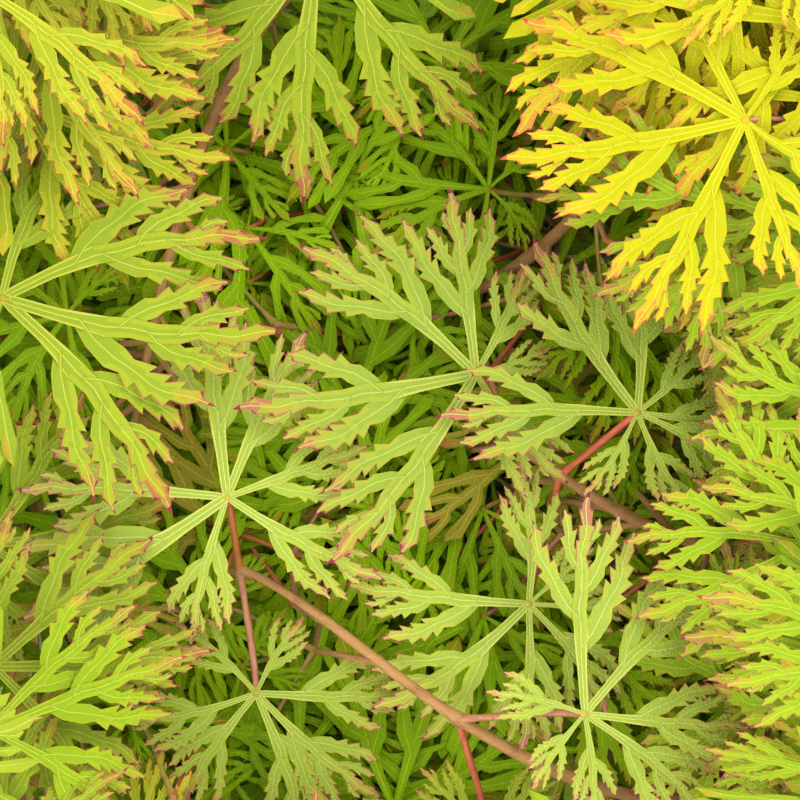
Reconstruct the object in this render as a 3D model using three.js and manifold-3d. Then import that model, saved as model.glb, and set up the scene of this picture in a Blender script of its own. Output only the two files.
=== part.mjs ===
// A leafy branch of a green laceleaf Japanese maple, as cut, lying down.
// Millimetres, +Z up. It is seen from above, with +X to the right and +Y away from the viewer.
// The origin is under the middle of the branch, on the surface that it lies on.
// One main stem runs from the flat cut to the crown of the branch. Opposite boughs leave it in pairs.
// Each bough ends in a mass of foliage: a leafy shoot, its side twigs and leaf stalks, and its lobed leaves.
import * as THREE from "three";
import Module from "manifold-3d";

const wasm = await Module();
wasm.setup();

// Wood
const STEM_CUT_RADIUS = 5;
const STEM_TIP_RADIUS = 2.1;
const BOUGH_ROOT_RADIUS = 2.2;
const BOUGH_TIP_RADIUS = 1.6;
const SHOOT_TIP_RADIUS = 1.0;
const TWIG_ROOT_RADIUS = 1.1;
const STALK_RADIUS = 0.9;
const CUT_SLANT = 0.35; // rise of the slanting cut for each millimetre across the stem
const SEAT_GAP = 0.3; // between two solids that touch
const LEAF_GAP = 0.35; // least distance of a leaf from what it doesn't grow on

// Leaf, with lengths as shares of a lobe's length or of the longest one's
const LOBE_ANGLES = [-137, -87, -42, 0, 42, 87, 137];
const LOBE_LENGTHS = [0.5, 0.75, 0.95, 1, 0.95, 0.75, 0.5];
const LOBE_WIDEST = 0.57; // its half width and its ridge are greatest at this share of it
const LOBE_HALF_WIDTH = 0.14;
const LOBE_RISE = 0.12;
const SINUS_REACH = 0.06;
const STALK_SINUS_ANGLE = 33;
const RIB_HALF_THICKNESS = 0.45;
const HUB_HALF_THICKNESS = 0.6;

// Growth rule
const TRIES = 40;
const TWIG_SHARE = 0.1;
const LEAF_LENGTH = [36, 52];
const STALK_LENGTH = [22, 40];
const TWIG_LENGTH = [26, 36];
const LEVELS = [1, 150]; // lowest and highest height of a leaf, before the branch is set down
const CROWN = { middle: [5, -8], reach: [172, 168] }; // the oval, seen from above, that no leaf leaves
const EYE = [0, 0, 500]; // where the branch was read off from by eye
const OPENING = { spread: 0.2, level: 66 }; // the part seen from there where leaves by the rule stay low

const MAIN_STEM = [
  [128, -178, 6],
  [114, -80, 50],
  [122, 60, 58],
  [5, 128, 50],
];

// Each shoot: where on the main stem it starts, the two inner control points and the tip of its curve, the
// share of it that is bare bough, and how many pairs of leaves grow by the rule between two shares of it.
const SHOOTS = {
  low_left: {
    at: 0.12, by: [[60, -165, 60], [-50, -150, 85]], tip: [-112, -62, 72],
    bare: 0.2, pairs: 5, span: [0.26, 0.9],
  },
  low_right: {
    at: 0.12, by: [[140, -122, 34], [148, -104, 45]], tip: [138, -76, 52],
    bare: 0.3, pairs: 2, span: [0.45, 1],
  },
  below_left: {
    at: 0.2, by: [[80, -130, 14], [20, -118, 20]], tip: [-34, -104, 24],
    bare: 0.22, pairs: 6, span: [0.3, 1],
  },
  below_right: {
    at: 0.2, by: [[150, -100, 20], [160, -75, 20]], tip: [148, -44, 24],
    bare: 0.25, pairs: 3, span: [0.4, 1],
  },
  front_left: {
    at: 0.28, by: [[32.8, -111.1, 104.5], [-6.4, -47.5, 73.4]], tip: [-36.6, -38.9, 68],
    bare: 0.2, pairs: 2, span: [0.25, 0.4],
  },
  front_right: {
    at: 0.28, by: [[142, -74, 50], [156, -48, 72]], tip: [146, -10, 84],
    bare: 0.25, pairs: 3, span: [0.38, 1],
  },
  middle_left: {
    at: 0.42, by: [[54.6, -36.7, 69.9], [38.7, -17, 74.5]], tip: [24.1, -9.2, 66],
    bare: 0.24, pairs: 2, span: [0.32, 0.52],
  },
  middle_right: {
    at: 0.42, by: [[132, -38, 70], [126, -44, 98]], tip: [104, -58, 98],
    bare: 0.25, pairs: 3, span: [0.34, 0.8],
  },
  under_left: {
    at: 0.56, by: [[60, -10, 36], [10, -42, 28]], tip: [-54, -64, 26],
    bare: 0.22, pairs: 6, span: [0.3, 1],
  },
  under_right: {
    at: 0.56, by: [[122, 22, 34], [134, 44, 28]], tip: [134, 80, 32],
    bare: 0.25, pairs: 3, span: [0.38, 1],
  },
  over_left: {
    at: 0.68, by: [[55, 42, 28], [20, 32, 24]], tip: [-28, 56, 28],
    bare: 0.22, pairs: 5, span: [0.3, 1],
  },
  over_right: {
    at: 0.68, by: [[108, 52, 84], [122, 62, 112]], tip: [104, 36, 114],
    bare: 0.25, pairs: 3, span: [0.34, 0.8],
  },
  back_left: {
    at: 0.79, by: [[58, 66, 66], [30, -10, 42]], tip: [-98, 16, 44],
    bare: 0.24, pairs: 6, span: [0.36, 1],
  },
  back_right: {
    at: 0.76, by: [[92, 96, 74], [104, 108, 92]], tip: [84, 114, 98],
    bare: 0.25, pairs: 3, span: [0.36, 1],
  },
  top_left: {
    at: 0.93, by: [[-40, 120.8, 59.1], [-49.7, 49, 70.8]], tip: [-64, -8, 48],
    bare: 0.25, pairs: 5, span: [0.34, 1],
  },
  top_right: {
    at: 0.93, by: [[34, 126, 64], [50, 134, 62]], tip: [76, 124, 46],
    bare: 0.25, pairs: 3, span: [0.36, 1],
  },
  tip: {
    at: 1, by: [[-50, 134, 72], [-112, 122, 102]], tip: [-122, 38, 84],
    bare: 0, pairs: 6, span: [0.14, 0.9],
  },
};

// Leaves whose place was read off by eye: the shoot and the share of it where the stalk starts, the leaf's
// middle, the way it points (degrees from +X towards +Y), how its face leans and its longest lobe. Where
// the lobes were read off too, each is its own direction and length, in turn round the leaf from the stalk.
const PLACED = [
  {
    on: "front_left", from: 1, hub: [-38.4, -21.6, 80], heading: 100, lean: [-0.05, 0.05],
    lobes: [[332, 40], [20, 34], [65, 42], [98, 50], [178, 49], [210, 56], [256, 35]],
  },
  {
    on: "front_left", from: 1, hub: [-32.7, -66.7, 70], heading: 275, lean: [0.05, -0.05],
    lobes: [[140, 25], [192, 33], [237, 33], [288, 38], [318, 39], [358, 37], [57, 21]],
  },
  {
    on: "front_left", from: 0.55, hub: [39.3, -66.8, 98], heading: 0, lean: [0.1, 0.1],
    lobes: [[235, 20], [275, 24], [320, 36], [355, 38], [40, 44], [87, 48], [168, 22]],
  },
  {
    on: "middle_left", from: 1, hub: [16.7, 5.7, 84], heading: 140, lean: [0.1, 0.1],
    lobes: [[20, 19], [65, 28], [97, 43], [143, 49], [188, 54], [232, 53], [311, 32]],
  },
  {
    on: "middle_left", from: 0.74, hub: [52, -2.8, 86], heading: 42, lean: [0.1, 0.1],
    lobes: [[237, 22], [300, 25], [327, 27], [357, 27], [45, 24], [92, 38], [119, 45], [181, 44]],
  },
  {
    on: "middle_left", from: 0.74, hub: [29, -46, 74], heading: 258, lean: [0, -0.05],
    lobes: [[94, 33], [175, 42], [215, 44], [268, 36], [305, 33], [355, 24], [40, 20]],
  },
  { on: "front_left", from: 0.55, hub: [19.7, -99.6, 66], heading: 272, lean: [0, -0.15], length: 46 },
  { on: "under_left", from: 0.34, hub: [37.4, -29.5, 54], heading: 300, lean: [0, 0], length: 28 },
  { on: "tip", from: 0.15, hub: [-17.3, 99, 92], heading: 268, lean: [0, -0.3], length: 58 },
  { on: "tip", from: 0.62, hub: [-78.5, 77.4, 115], heading: -8, lean: [0.3, 0], length: 48 },
  { on: "tip", from: 0.8, hub: [-80, 62.8, 99], heading: -24, lean: [0.3, -0.1], length: 48 },
  { on: "tip", from: 1, hub: [-84.6, 21.7, 98], heading: -12, lean: [0.1, 0.05], length: 58 },
  { on: "low_left", from: 0.92, hub: [-86.4, -69.5, 102], heading: 8, lean: [0.2, 0], length: 42 },
  { on: "low_left", from: 0.96, hub: [-88.3, -57.8, 90], heading: 0, lean: [0.15, 0], length: 46 },
  { on: "low_left", from: 1, hub: [-91.3, -31.9, 82], heading: 10, lean: [0.1, 0], length: 42 },
  { on: "over_right", from: 0.8, hub: [68.5, 55.6, 125], heading: 192, lean: [-0.35, 0], length: 54 },
  { on: "over_right", from: 1, hub: [87, 43.6, 108], heading: 212, lean: [-0.3, -0.1], length: 46 },
  { on: "middle_right", from: 0.8, hub: [83, -29.8, 112], heading: 168, lean: [-0.3, 0], length: 40 },
  { on: "middle_right", from: 1, hub: [78.3, -63.5, 102], heading: 158, lean: [-0.25, 0], length: 42 },
  { on: "back_right", from: 0.5, hub: [58, 84, 118], heading: 215, lean: [-0.3, -0.1], length: 50 },
];

const COLOURS = {
  stem: { color: 0x8a5a45, roughness: 0.7, metalness: 0 },
  bough: { color: 0x9c6650, roughness: 0.65, metalness: 0 },
  foliage: { color: 0x86ab3d, roughness: 0.55, metalness: 0 },
};

// A number from 0 to 1 that depends only on the keys.
function chance(...keys) {
  let h = 0x9e3779b9;
  for (const key of keys) {
    h = Math.imul(h ^ key, 0x85ebca6b);
    h ^= h >>> 13;
    h = Math.imul(h, 0xc2b2ae35);
    h ^= h >>> 16;
  }
  return (h >>> 0) / 4294967296;
}

function between([low, high], ...keys) {
  return low + (high - low) * chance(...keys);
}

function either(reach, ...keys) {
  return reach * (2 * chance(...keys) - 1);
}

const UP = new THREE.Vector3(0, 0, 1);

function vector([x, y, z]) {
  return new THREE.Vector3(x, y, z);
}

// a + b * share + ...
function sum(start, ...terms) {
  const total = start.clone();
  for (const [direction, amount] of terms) total.addScaledVector(direction, amount);
  return total;
}

function indexed(points, triangles) {
  const geometry = new THREE.BufferGeometry();
  geometry.setAttribute("position", new THREE.Float32BufferAttribute(points.flatMap((p) => p.toArray()), 3));
  geometry.setIndex(triangles);
  return geometry;
}

function solidOf(geometry) {
  return new wasm.Manifold(
    new wasm.Mesh({
      numProp: 3,
      vertProperties: new Float32Array(geometry.attributes.position.array),
      triVerts: new Uint32Array(geometry.index.array),
    }),
  );
}

function geometryOf(solid) {
  const { vertProperties, triVerts } = solid.getMesh();
  const geometry = new THREE.BufferGeometry();
  geometry.setAttribute("position", new THREE.BufferAttribute(vertProperties, 3));
  geometry.setIndex(new THREE.BufferAttribute(triVerts, 1));
  return geometry;
}

// A closed tapering limb along a curve, from one share of it to another.
function limb(curve, [from, to], [rootRadius, tipRadius], sides, steps, slant = 0) {
  const part = new THREE.Curve();
  part.getPoint = (t) => curve.getPoint(from + (to - from) * t);
  const frames = part.computeFrenetFrames(steps, false);
  const points = [];
  const triangles = [];
  for (let i = 0; i <= steps; i++) {
    const centre = part.getPointAt(i / steps);
    const radius = rootRadius + (tipRadius - rootRadius) * (i / steps);
    for (let k = 0; k < sides; k++) {
      const turn = (2 * Math.PI * k) / sides;
      const slide = i === 0 ? slant * radius * Math.sin(turn) : 0;
      points.push(
        sum(
          centre,
          [frames.normals[i], radius * Math.cos(turn)],
          [frames.binormals[i], radius * Math.sin(turn)],
          [frames.tangents[i], slide],
        ),
      );
    }
  }
  for (let i = 0; i < steps; i++)
    for (let k = 0; k < sides; k++) {
      const a = i * sides + k;
      const b = i * sides + ((k + 1) % sides);
      triangles.push(a, b, b + sides, a, b + sides, a + sides);
    }
  const last = steps * sides;
  for (let k = 1; k < sides - 1; k++) triangles.push(0, k + 1, k, last, last + k, last + k + 1);
  return solidOf(indexed(points, triangles));
}

// A stalk leaves its twig along a direction and bends into the leaf's hub.
function stalkCurve({ root, direction, hub, axis }) {
  const reach = root.distanceTo(hub);
  const out = sum(root, [direction, reach * 0.4]);
  const into = sum(hub, [axis, -reach * 0.28], [UP, -reach * 0.16]);
  return new THREE.CubicBezierCurve3(root, out, into, hub);
}

// A leaf as one thin closed solid: a hub, drooping lobes that narrow to a stalk at the hub, with a ridge
// above and flat below, and its own three-sided stalk, left out where only the blade is wanted.
function leafSolid(leaf, stalked) {
  const { hub, axis, normal, lobes, droop } = leaf;
  const lateral = new THREE.Vector3().crossVectors(normal, axis);
  const longest = Math.max(...lobes.map(({ reach }) => reach));
  const polar = (angle, out, across, lift) => {
    const turn = THREE.MathUtils.degToRad(angle);
    return sum(
      hub,
      [axis, out * Math.cos(turn) - across * Math.sin(turn)],
      [lateral, out * Math.sin(turn) + across * Math.cos(turn)],
      [normal, lift],
    );
  };
  const onLobe = ({ angle, curl, reach }, share, across, lift) => {
    const arched = reach * (LOBE_RISE * share - droop * share * share);
    return polar(angle + curl * share, reach * share, across, arched + lift);
  };

  const points = [];
  const add = (p) => points.push(p) - 1;
  const hubTop = add(polar(0, 0, 0, HUB_HALF_THICKNESS));
  const hubUnder = add(polar(0, 0, 0, -HUB_HALF_THICKNESS));
  const bays = [lobes[0].angle - STALK_SINUS_ANGLE];
  for (let i = 1; i < lobes.length; i++) bays.push((lobes[i - 1].angle + lobes[i].angle) / 2);
  bays.push(lobes.at(-1).angle + STALK_SINUS_ANGLE);
  const sinuses = bays.map((angle) => add(polar(angle, SINUS_REACH * longest, 0, 0)));

  const triangles = [];
  lobes.forEach((lobe, i) => {
    const [before, after] = [sinuses[i], sinuses[i + 1]];
    const half = LOBE_HALF_WIDTH * lobe.reach;
    const rib = add(onLobe(lobe, LOBE_WIDEST, 0, RIB_HALF_THICKNESS));
    const right = add(onLobe(lobe, LOBE_WIDEST, -half, 0));
    const tip = add(onLobe(lobe, 1, 0, 0));
    const left = add(onLobe(lobe, LOBE_WIDEST, half, 0));
    const rim = [before, right, tip, left, after];
    for (let k = 0; k < 4; k++) triangles.push(rib, rim[k], rim[k + 1]);
    triangles.push(hubTop, before, rib, hubTop, rib, after);
    triangles.push(hubUnder, right, before, hubUnder, left, right, left, tip, right, hubUnder, after, left);
  });

  const ring = [hubTop, sinuses.at(-1), hubUnder, sinuses[0]];
  if (!stalked) {
    triangles.push(ring[0], ring[1], ring[3], ring[1], ring[2], ring[3]);
    return solidOf(indexed(points, triangles));
  }
  const curve = stalkCurve(leaf);
  const [near, far] = [0.5, 0].map((share) => {
    const back = curve.getTangent(share).negate();
    const across = sum(lateral, [back, -lateral.dot(back)]).normalize();
    const above = new THREE.Vector3().crossVectors(across, back);
    return [90, -30, 210].map((angle) => {
      const turn = THREE.MathUtils.degToRad(angle);
      const [side, lift] = [STALK_RADIUS * Math.cos(turn), STALK_RADIUS * Math.sin(turn)];
      return add(sum(curve.getPoint(share), [across, side], [above, lift]));
    });
  });
  const [a, b, c] = near;
  triangles.push(ring[0], ring[1], b, ring[0], b, a, ring[1], ring[2], b);
  triangles.push(ring[2], ring[3], c, ring[2], c, b, ring[3], ring[0], a, ring[3], a, c);
  for (let k = 0; k < 3; k++) {
    const next = (k + 1) % 3;
    triangles.push(near[k], near[next], far[next], near[k], far[next], far[k]);
  }
  triangles.push(...far);
  return solidOf(indexed(points, triangles));
}

// The lobes of a leaf by the rule, each with its own small turn, bend and length.
function ruledLobes(length, keys) {
  return LOBE_ANGLES.map((angle, i) => ({
    angle: angle + either(5, ...keys, 20 + i),
    curl: either(12, ...keys, 30 + i),
    reach: length * LOBE_LENGTHS[i] * (1 + either(0.07, ...keys, 40 + i)),
  }));
}

// The face of a leaf that points along a heading, dips and rolls: its axis and its normal.
function facing(heading, dip, roll) {
  const axis = sum(heading.clone().multiplyScalar(Math.cos(dip)), [UP, -Math.sin(dip)]).normalize();
  const normal = sum(UP, [axis, -axis.z]).normalize().applyAxisAngle(axis, roll);
  return { axis, normal };
}

// A leaf by the rule, at one try: off a twig at root, which runs along tangent, on the given turn round it.
function ruledLeaf(root, tangent, turn, keys, attempt) {
  const own = [...keys, attempt];
  const late = attempt / TRIES;
  const side = new THREE.Vector3().crossVectors(UP, tangent).normalize();
  const above = new THREE.Vector3().crossVectors(tangent, side);
  const away = THREE.MathUtils.degToRad(between([38, 70], ...own, 1));
  const around = THREE.MathUtils.degToRad(turn + either(25 + 60 * late, ...own, 2));
  const direction = tangent
    .clone()
    .multiplyScalar(Math.cos(away))
    .addScaledVector(side, Math.sin(away) * Math.cos(around))
    .addScaledVector(above, Math.sin(away) * Math.sin(around));
  const hub = sum(root, [direction, between(STALK_LENGTH, ...own, 3)], [UP, between([0, 8], ...own, 4)]);
  const heading = sum(direction, [UP, -direction.z]).normalize();
  heading.applyAxisAngle(UP, THREE.MathUtils.degToRad(either(22 + 30 * late, ...own, 5)));
  const dip = THREE.MathUtils.degToRad(between([0, 28], ...own, 6));
  const roll = THREE.MathUtils.degToRad(either(16 + 18 * late, ...own, 7));
  const length = between(LEAF_LENGTH, ...own, 8) * (1 - 0.3 * late);
  const droop = between([0.2, 0.34], ...own, 9);
  return { root, direction, hub, ...facing(heading, dip, roll), lobes: ruledLobes(length, own), droop };
}

// A placed leaf at one try: the first is as stated, and later ones move it along the line of sight.
function placedLeaf(spec, curve, keys, attempt) {
  const root = curve.getPoint(spec.from);
  const stated = vector(spec.hub);
  const rise = (attempt % 2 ? 1.5 : -1.5) * Math.ceil(attempt / 2);
  const hub = stated.lerp(vector(EYE), rise / (EYE[2] - stated.z));
  const turn = THREE.MathUtils.degToRad(spec.heading);
  const heading = new THREE.Vector3(Math.cos(turn), Math.sin(turn), 0);
  const normal = new THREE.Vector3(...spec.lean, 1).normalize();
  const axis = sum(heading, [normal, -heading.dot(normal)]).normalize();
  const direction = sum(hub, [root, -1]).normalize();
  const lobes = spec.lobes
    ? spec.lobes.map(([angle, reach]) => {
        const fromHeading = ((((angle - spec.heading) % 360) + 540) % 360) - 180;
        return { angle: fromHeading, curl: 0, reach };
      })
    : ruledLobes(spec.length, keys);
  return { root, direction, hub, axis, normal, lobes, droop: 0.22 };
}

// Solids that are in place, each with its box, so that a new leaf can be kept clear of them.
const placed = [];

function place(solid) {
  placed.push({ solid, box: solid.boundingBox() });
  return solid;
}

function inCrown(solid) {
  const { vertProperties } = solid.getMesh();
  for (let i = 0; i < vertProperties.length; i += 3) {
    const offsets = CROWN.middle.map((middle, k) => (vertProperties[i + k] - middle) / CROWN.reach[k]);
    if (Math.hypot(...offsets) > 1) return false;
  }
  return true;
}

function clear(solid, except = []) {
  const box = solid.boundingBox();
  if (box.min[2] < LEVELS[0] || box.max[2] > LEVELS[1] || !inCrown(solid)) return false;
  return placed.every(({ solid: other, box: near }) => {
    if (except.includes(other)) return true;
    for (let i = 0; i < 3; i++)
      if (near.min[i] > box.max[i] + LEAF_GAP || near.max[i] < box.min[i] - LEAF_GAP) return true;
    return solid.minGap(other, LEAF_GAP) >= LEAF_GAP;
  });
}

// Whether a solid stands high enough to hide what is seen through the opening in the crown.
function hides(solid) {
  const { vertProperties } = solid.getMesh();
  for (let i = 0; i < vertProperties.length; i += 3) {
    const [x, y, z] = vertProperties.slice(i, i + 3);
    const reach = OPENING.spread * (EYE[2] - z);
    if (z > OPENING.level && Math.abs(x) < reach && Math.abs(y) < reach) return true;
  }
  return false;
}

// Tries a leaf until its blade is clear of everything, and its stalk of all but what is at its node: the
// twig and the other leaf of the pair. A leaf by the rule is also kept out of the open part of the view.
function growLeaf(candidate, node, parts, shown = false) {
  for (let attempt = 0; attempt < TRIES; attempt++) {
    const leaf = candidate(attempt);
    const blade = leafSolid(leaf, false);
    if (!clear(blade) || (!shown && hides(blade))) continue;
    const solid = leafSolid(leaf, true);
    if (!clear(solid, node)) continue;
    node.push(place(solid));
    parts.push(solid);
    return true;
  }
  return false;
}

// A side twig with a pair of leaves at its end.
function growTwig(root, tangent, turn, keys, node, parts) {
  for (let attempt = 0; attempt < TRIES; attempt++) {
    const { direction } = ruledLeaf(root, tangent, turn, keys, attempt);
    const length = between(TWIG_LENGTH, ...keys, attempt, 10);
    const end = sum(root, [direction, length]);
    const curve = new THREE.QuadraticBezierCurve3(root, sum(root, [direction, length * 0.5], [UP, 2]), end);
    const twig = limb(curve, [0, 1], [TWIG_ROOT_RADIUS, STALK_RADIUS], 4, 2);
    if (!clear(twig, node) || hides(twig)) continue;
    const grown = [place(twig)];
    const twigNode = [twig];
    for (const [hand, twigTurn] of [[1, 30], [2, 210]]) {
      const leafKeys = [...keys, attempt, hand];
      growLeaf((next) => ruledLeaf(end, direction, twigTurn, leafKeys, next), twigNode, grown);
    }
    if (grown.length > 1) {
      node.push(twig);
      parts.push(...grown);
      return;
    }
    placed.pop();
  }
}

// What is left of a limb outside the stem and its seat gap, without any scrap on the stem's far side.
function clearOfStem(whole) {
  return whole
    .subtract(stemSeat)
    .decompose()
    .reduce((a, b) => (a.volume() > b.volume() ? a : b));
}

const stemCurve = new THREE.CubicBezierCurve3(...MAIN_STEM.map(vector));
const stemRadii = [STEM_CUT_RADIUS, STEM_TIP_RADIUS];
const stemSolid = limb(stemCurve, [0, 1], stemRadii, 10, 16, CUT_SLANT);
const seatEnd = 1 + SEAT_GAP / stemCurve.getLength();
const stemSeat = limb(stemCurve, [0, seatEnd], stemRadii.map((r) => r + SEAT_GAP), 10, 16, CUT_SLANT);

const solids = new Map([["main_stem", place(stemSolid)]]);
const shoots = Object.entries(SHOOTS).map(([name, spec], index) => {
  const foot = stemCurve.getPoint(spec.at);
  const curve = new THREE.CubicBezierCurve3(foot, ...spec.by.map(vector), vector(spec.tip));
  if (spec.bare > 0) {
    const bough = limb(curve, [0, spec.bare], [BOUGH_ROOT_RADIUS, BOUGH_TIP_RADIUS], 6, 5);
    solids.set(`bough_${name}`, place(clearOfStem(bough)));
  }
  const start = spec.bare > 0 ? spec.bare + SEAT_GAP / curve.getLength() : 0;
  const shoot = limb(curve, [start, 1], [BOUGH_TIP_RADIUS, SHOOT_TIP_RADIUS], 5, 8);
  const leafy = spec.bare > 0 ? shoot : clearOfStem(shoot);
  return { name, spec, index, curve, leafy: place(leafy), parts: [leafy] };
});

// The leaves with a stated place grow first, on all shoots.
const placedNodes = new Map();
PLACED.forEach((spec, order) => {
  const { curve, leafy, parts, index } = shoots.find(({ name }) => name === spec.on);
  const keys = [index, 100 + order];
  const spot = `${spec.on} ${spec.from}`;
  if (!placedNodes.has(spot)) placedNodes.set(spot, [leafy]);
  const candidate = (attempt) => placedLeaf(spec, curve, keys, attempt);
  const grown = growLeaf(candidate, placedNodes.get(spot), parts, true);
  if (!grown) throw new Error(`no room for the stated leaf ${order}`);
});

// Then each shoot gets its pairs, the turn round it changing from pair to pair, and the odd side twig.
for (const { spec, index, curve, leafy, parts } of shoots)
  for (let pair = 0; pair < spec.pairs; pair++) {
    const [first, final] = spec.span;
    const share = first + ((final - first) * pair) / (spec.pairs - 1);
    const root = curve.getPoint(share);
    const tangent = curve.getTangent(share);
    const turn = [25, 70, -30][pair % 3];
    const node = [leafy];
    for (const [hand, side] of [[1, turn], [2, turn + 180]]) {
      const keys = [index, pair, hand];
      if (share < 1 && chance(...keys) < TWIG_SHARE) growTwig(root, tangent, side, keys, node, parts);
      else growLeaf((attempt) => ruledLeaf(root, tangent, side, keys, attempt), node, parts);
    }
  }

for (const { name, parts } of shoots) solids.set(`foliage_${name}`, wasm.Manifold.union(parts));

const branch = new THREE.Group();
for (const [name, solid] of solids) {
  const kind = name.split("_")[0];
  const look = COLOURS[kind === "main" ? "stem" : kind];
  const mesh = new THREE.Mesh(geometryOf(solid), new THREE.MeshStandardMaterial(look));
  mesh.name = name;
  branch.add(mesh);
}

// The branch is set down on its lowest leaves and centred over the origin.
const box = new THREE.Box3().setFromObject(branch);
const middle = box.getCenter(new THREE.Vector3());
branch.position.set(-middle.x, -middle.y, -box.min.z);

export default branch;
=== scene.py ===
# A cut leafy branch of a green laceleaf Japanese maple, lying on a pale floor and seen from straight above.
# Its curves and leaves are drawn in millimetres under the eye, +X to the right of the view and +Y to its top.
# Each finished piece is then set down in the part's frame.
import math

import bpy
import numpy as np
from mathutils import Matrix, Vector, kdtree


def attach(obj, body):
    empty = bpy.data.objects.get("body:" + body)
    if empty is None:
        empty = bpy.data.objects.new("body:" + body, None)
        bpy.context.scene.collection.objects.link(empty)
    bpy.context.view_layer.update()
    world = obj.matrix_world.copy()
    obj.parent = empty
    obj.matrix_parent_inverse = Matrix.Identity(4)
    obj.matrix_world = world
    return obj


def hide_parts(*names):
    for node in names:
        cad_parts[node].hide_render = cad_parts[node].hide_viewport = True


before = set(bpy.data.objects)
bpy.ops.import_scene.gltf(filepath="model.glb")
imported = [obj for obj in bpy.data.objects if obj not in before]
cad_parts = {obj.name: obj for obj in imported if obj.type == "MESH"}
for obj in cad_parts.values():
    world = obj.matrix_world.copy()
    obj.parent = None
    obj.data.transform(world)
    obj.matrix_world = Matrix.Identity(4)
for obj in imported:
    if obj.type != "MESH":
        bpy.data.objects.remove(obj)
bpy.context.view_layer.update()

SET_DOWN = np.array([-8.2143097, 14.7372131, -0.9041316])  # from where it was drawn to the part's frame
UP = np.array([0.0, 0.0, 1.0])
LOOSE = 0.2  # a corner of the solids this near to a leaf's tip or hub is that leaf's

# The view: the eye, and the pixels that a millimetre takes up at the sharp leaves
EYE = np.array([0.0, 0.0, 500.0])
SHARP_SCALE = 4.5
SHARP_DISTANCE = 420
HALF_VIEW = 400  # pixels from the view's middle to its edge

# Growth rule, as for the solids
LOBE_ANGLES = (-137, -87, -42, 0, 42, 87, 137)
LOBE_LENGTHS = (0.5, 0.75, 0.95, 1, 0.95, 0.75, 0.5)
LOBE_RISE = 0.12
HUB_HALF_THICKNESS = 0.6
TRIES = 40
TWIG_SHARE = 0.1
LEAF_LENGTH = (36, 52)
STALK_LENGTH = (22, 40)
TWIG_LENGTH = (26, 36)
TWIG_BOW = 2
PLACED_STEP = 1.5  # a leaf with a stated place moves up and down its line to the eye by steps of this
PLACED_DROOP = 0.22
CROWN_MIDDLE = np.array([5.0, -8.0])
CROWN_REACH = np.array([172.0, 168.0])

# Finer twigs and leaves
FINER_STEPS = 9  # places along a shoot where a pair of finer twigs may start
FINER_TWIG_LENGTH = (10, 24)
FINER_TWIG_BOW = 1.5
FINER_TWIG_TRIES = 6
FINER_LEAF_TRIES = 5
FINER_LEVELS = (2.5, 136)
LOWEST_TWIG_END = 4
CROWN_MARGIN = 4
CLEARANCE = 1.2
HUBS_APART = 12
LEAVES_APART = 70  # leaves with their middles this far apart can't touch
OPEN_LEVEL = 60.0  # in the open middle of the view they stay under this height

# Wood
MAIN_STEM = ((128, -178, 6), (114, -80, 50), (122, 60, 58), (5, 128, 50))
STEM_RADII = (5.0, 2.1)
BOUGH_RADII = (2.2, 1.6)
SHOOT_RADII = (1.6, 1.0)
CUT_NORMAL = np.array([0.121954, -0.989148, -0.08194])

# Each shoot: where on the main stem it starts, its inner control points and tip, the share that is bare
# bough, and the number of leaf pairs that grow by the rule between two shares of it.
SHOOTS = {
    "low_left": (0.12, ((60, -165, 60), (-50, -150, 85)), (-112, -62, 72), 0.2, 5, (0.26, 0.9)),
    "low_right": (0.12, ((140, -122, 34), (148, -104, 45)), (138, -76, 52), 0.3, 2, (0.45, 1)),
    "below_left": (0.2, ((80, -130, 14), (20, -118, 20)), (-34, -104, 24), 0.22, 6, (0.3, 1)),
    "below_right": (0.2, ((150, -100, 20), (160, -75, 20)), (148, -44, 24), 0.25, 3, (0.4, 1)),
    "front_left": (
        0.28, ((32.8, -111.1, 104.5), (-6.4, -47.5, 73.4)), (-36.6, -38.9, 68), 0.2, 2, (0.25, 0.4)
    ),
    "front_right": (0.28, ((142, -74, 50), (156, -48, 72)), (146, -10, 84), 0.25, 3, (0.38, 1)),
    "middle_left": (
        0.42, ((54.6, -36.7, 69.9), (38.7, -17, 74.5)), (24.1, -9.2, 66), 0.24, 2, (0.32, 0.52)
    ),
    "middle_right": (0.42, ((132, -38, 70), (126, -44, 98)), (104, -58, 98), 0.25, 3, (0.34, 0.8)),
    "under_left": (0.56, ((60, -10, 36), (10, -42, 28)), (-54, -64, 26), 0.22, 6, (0.3, 1)),
    "under_right": (0.56, ((122, 22, 34), (134, 44, 28)), (134, 80, 32), 0.25, 3, (0.38, 1)),
    "over_left": (0.68, ((55, 42, 28), (20, 32, 24)), (-28, 56, 28), 0.22, 5, (0.3, 1)),
    "over_right": (0.68, ((108, 52, 84), (122, 62, 112)), (104, 36, 114), 0.25, 3, (0.34, 0.8)),
    "back_left": (0.79, ((58, 66, 66), (30, -10, 42)), (-98, 16, 44), 0.24, 6, (0.36, 1)),
    "back_right": (0.76, ((92, 96, 74), (104, 108, 92)), (84, 114, 98), 0.25, 3, (0.36, 1)),
    "top_left": (0.93, ((-40, 120.8, 59.1), (-49.7, 49, 70.8)), (-64, -8, 48), 0.25, 5, (0.34, 1)),
    "top_right": (0.93, ((34, 126, 64), (50, 134, 62)), (76, 124, 46), 0.25, 3, (0.36, 1)),
    "tip": (1, ((-50, 134, 72), (-112, 122, 102)), (-122, 38, 84), 0, 6, (0.14, 0.9)),
}

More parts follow.
